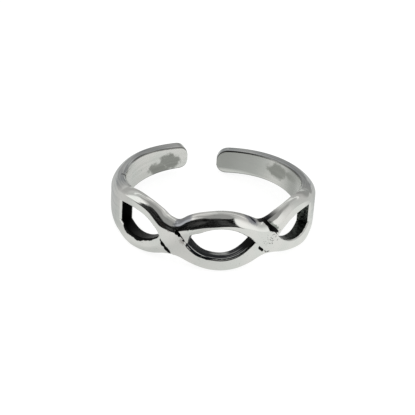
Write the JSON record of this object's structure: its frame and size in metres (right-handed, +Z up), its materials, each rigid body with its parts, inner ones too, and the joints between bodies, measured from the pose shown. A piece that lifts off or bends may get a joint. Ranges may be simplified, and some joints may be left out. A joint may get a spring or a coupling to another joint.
{
  "type": "toe ring",
  "caption": "Adjustable open-back toe ring: woven strands cross over pierced windows at the front and run into a plain band that tapers to rounded ends.",
  "frame": {"origin": "on the surface that the ring lies on, under the middle of its box", "axes": "the weave faces -Y and the open back +Y; +X is to the right seen from the weave; +Z is up from the surface. The axis of the toe hole leans 2.86 degrees from +Z towards +Y, because the ring rests on the weave's middle loop and on one arm's end"},
  "size_m": [0.0178, 0.0176, 0.0051],
  "materials": {
    "silver": "polished"
  },
  "bodies": {
    "root": {"ring": "silver"}
  },
  "joints": []
}
